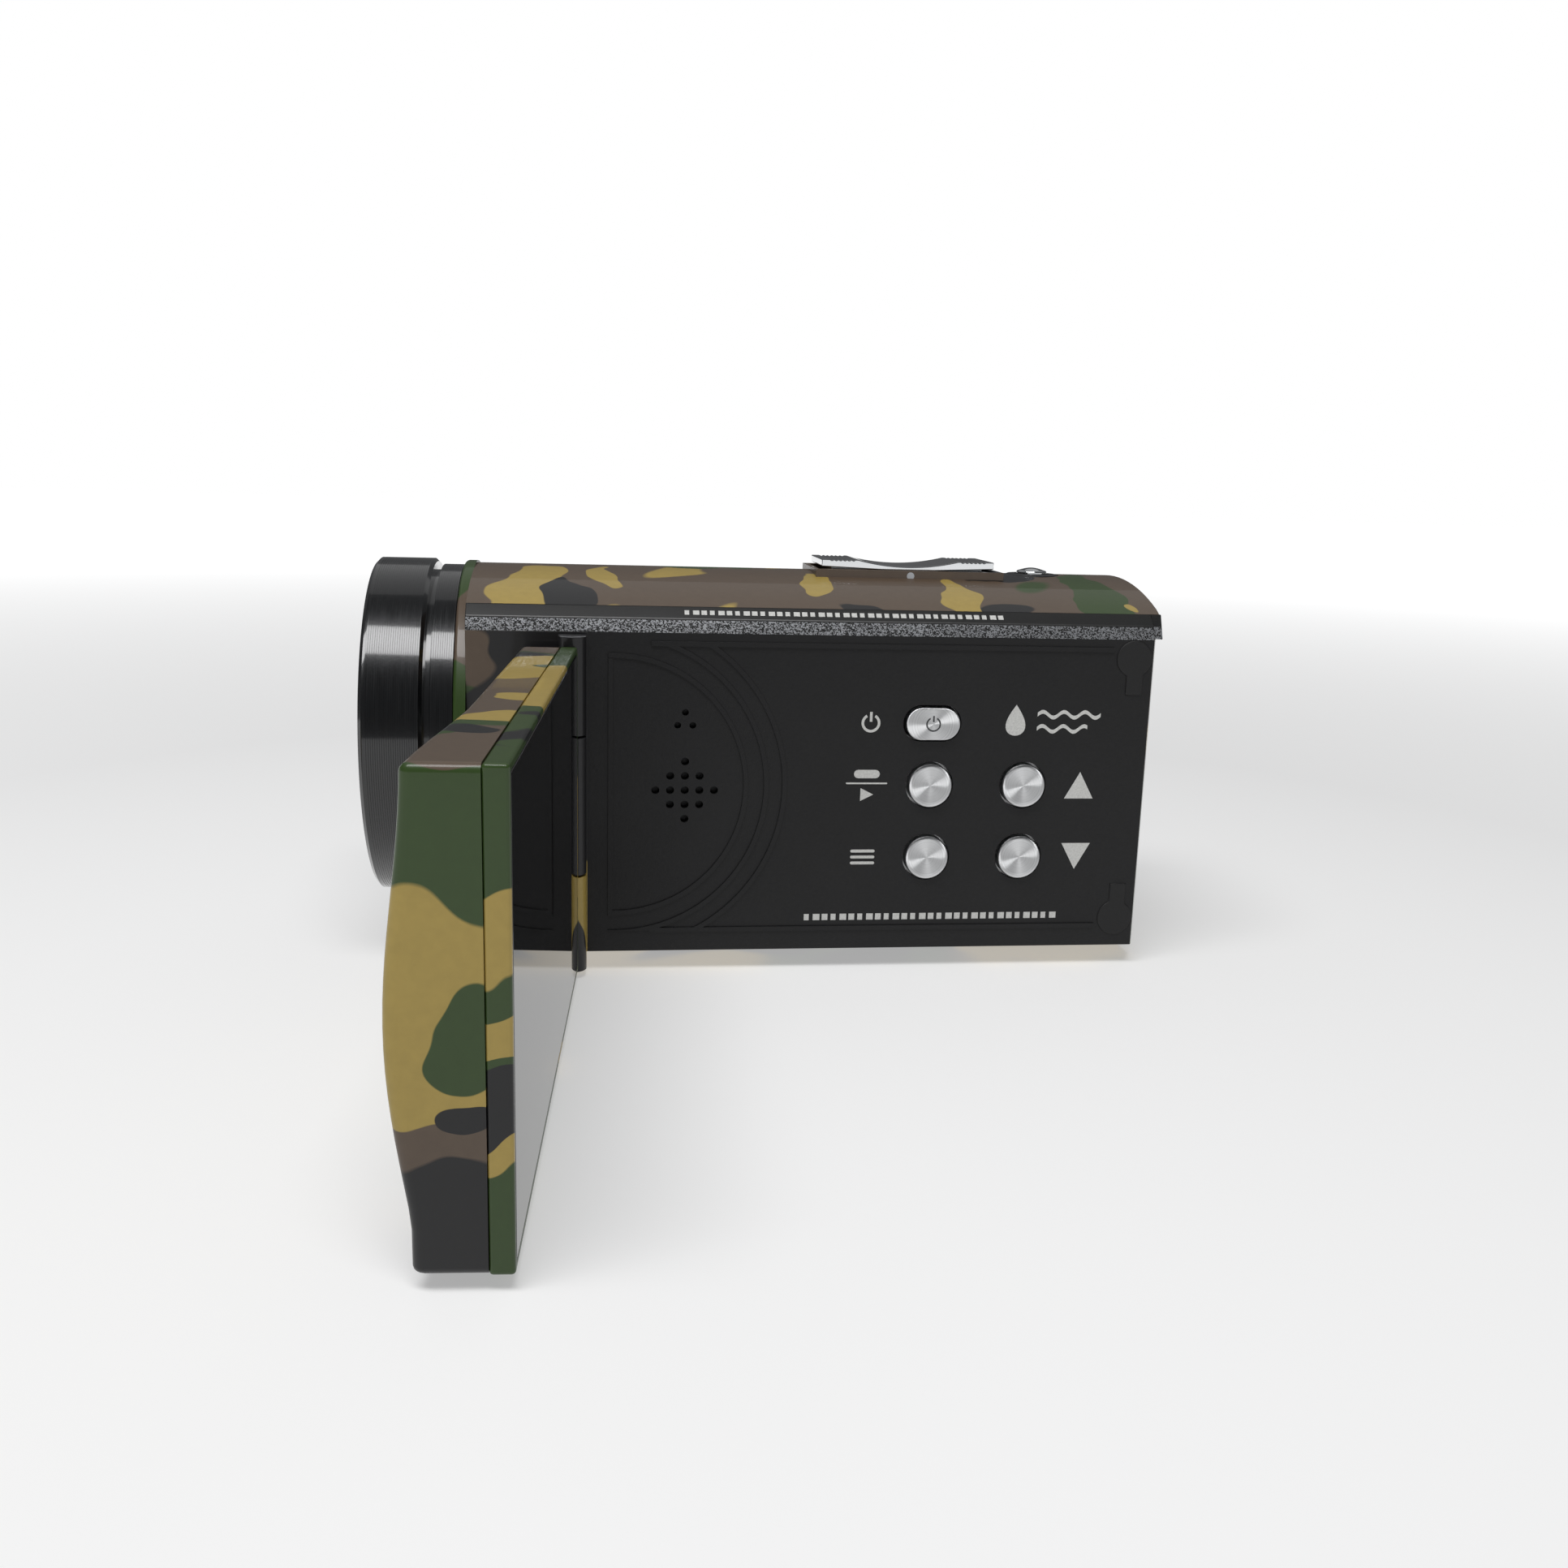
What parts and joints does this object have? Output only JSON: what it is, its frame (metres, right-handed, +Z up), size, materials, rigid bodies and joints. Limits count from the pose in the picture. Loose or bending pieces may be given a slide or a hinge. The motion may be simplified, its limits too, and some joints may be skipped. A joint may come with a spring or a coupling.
{
  "type": "camcorder",
  "caption": "Compact flip-screen camcorder in a camouflage waterproof case: round lens barrel, hinged swivelling side screen, control panel with buttons, zoom rocker and rear door.",
  "frame": {"origin": "centre of the mouth of the tripod socket, in the flat base", "axes": "+Z up out of the crown; -X the way the lens looks; -Y the side that the screen and control panel are on; -Z out of the tripod socket"},
  "size_m": [0.1237, 0.1387, 0.062],
  "materials": {
    "camo_case": "woodland camouflage film under gloss lacquer on moulded ABS",
    "black_panel": "fine spark-textured moulded ABS",
    "black_trim": "black lacquer with metal flake on ABS",
    "anodised_lens": "black anodised turned aluminium",
    "black_plastic": "satin moulded plastic",
    "lens_glass": "coated optical glass",
    "screen_glass": "black-backed hardened glass, mirror gloss",
    "spun_metal": "spun face with radial sheen",
    "chrome_plate": "chrome plated ABS, polished",
    "steel": "bright turned steel",
    "brass": "turned brass",
    "rubber": "matte moulded silicone rubber",
    "board": "green solder mask on glass-fibre board",
    "battery_wrap": "satin printed sleeve",
    "red_button": "translucent red moulded plastic"
  },
  "bodies": {
    "case": {"left_shell": "camo_case", "right_shell": "camo_case", "top_shell": "camo_case", "side_trim": "black_trim", "control_panel": "black_panel", "panel_bumpers": "rubber", "front_collar": "camo_case", "lens_barrel": "anodised_lens", "lens_front_ring": "anodised_lens", "lens_bezel": "black_plastic", "front_glass": "lens_glass", "lens_cell": "black_plastic", "lens_elements": "lens_glass", "image_sensor": "board", "hinge_pins": "steel", "button_mat": "rubber", "button_board": "board", "speaker": "black_plastic", "microphone": "steel", "zoom_platform": "camo_case", "zoom_pin": "steel", "shutter_base": "black_trim", "record_switch": "board", "main_board": "board", "battery": "battery_wrap", "card_slot": "steel", "port_block": "steel", "door_pin": "steel", "tripod_insert": "brass", "case_screws": "steel"},
    "hinge_arm": {"hinge_block": "black_plastic", "swivel_shaft": "steel"},
    "screen": {"swivel_bush": "brass", "screen_cover": "camo_case", "screen_bezel": "camo_case", "screen_glass": "screen_glass", "lcd_module": "screen_glass"},
    "power_button": {"power_button": "spun_metal"},
    "mode_button": {"mode_button": "spun_metal"},
    "up_button": {"up_button": "spun_metal"},
    "menu_button": {"menu_button": "spun_metal"},
    "down_button": {"down_button": "spun_metal"},
    "zoom_rocker": {"zoom_rocker": "chrome_plate"},
    "shutter_button": {"shutter_button": "chrome_plate"},
    "record_button": {"record_button": "red_button"},
    "rear_door": {"rear_door": "camo_case", "door_seal": "rubber"},
    "door_latch": {"door_latch": "black_plastic"}
  },
  "joints": [
    {"name": "screen_hinge", "type": "hinge", "parent": "case", "child": "hinge_arm", "pos_m": [-0.0279, -0.0259, 0.0258], "axis": [0, 0, 1], "range_deg": [0, 93]},
    {"name": "screen_swivel", "type": "hinge", "parent": "hinge_arm", "child": "screen", "pos_m": [-0.03279, -0.02564, 0.0258], "axis": [-0.0523, -0.9986, 0], "range_deg": [0, 180]},
    {"name": "power_button_press", "type": "slide", "parent": "case", "child": "power_button", "axis": [0, 1, 0], "range_m": [0, 0.0005], "stiffness_N_per_m": 2000, "springref_m": -0.0003},
    {"name": "mode_button_press", "type": "slide", "parent": "case", "child": "mode_button", "axis": [0, 1, 0], "range_m": [0, 0.0005], "stiffness_N_per_m": 2000, "springref_m": -0.0003},
    {"name": "up_button_press", "type": "slide", "parent": "case", "child": "up_button", "axis": [0, 1, 0], "range_m": [0, 0.0005], "stiffness_N_per_m": 2000, "springref_m": -0.0003},
    {"name": "menu_button_press", "type": "slide", "parent": "case", "child": "menu_button", "axis": [0, 1, 0], "range_m": [0, 0.0005], "stiffness_N_per_m": 2000, "springref_m": -0.0003},
    {"name": "down_button_press", "type": "slide", "parent": "case", "child": "down_button", "axis": [0, 1, 0], "range_m": [0, 0.0005], "stiffness_N_per_m": 2000, "springref_m": -0.0003},
    {"name": "zoom_rock", "type": "hinge", "parent": "case", "child": "zoom_rocker", "pos_m": [0.0252, 0, 0.0597], "axis": [0, 1, 0], "range_deg": [-3, 3], "stiffness_Nm_per_rad": 0.4},
    {"name": "shutter_press", "type": "slide", "parent": "case", "child": "shutter_button", "axis": [0, 0, -1], "range_m": [0, 0.0007], "stiffness_N_per_m": 1500, "springref_m": -0.0003},
    {"name": "record_press", "type": "slide", "parent": "case", "child": "record_button", "axis": [-1, 0, 0], "range_m": [0, 0.0005], "stiffness_N_per_m": 2000, "springref_m": -0.0003},
    {"name": "rear_door_hinge", "type": "hinge", "parent": "case", "child": "rear_door", "pos_m": [0.0639, 0.0184, 0.028], "axis": [0, 0, 1], "range_deg": [0, 110]},
    {"name": "door_latch_slide", "type": "slide", "parent": "rear_door", "child": "door_latch", "axis": [0, -1, 0], "range_m": [0, 0.0015]}
  ]
}
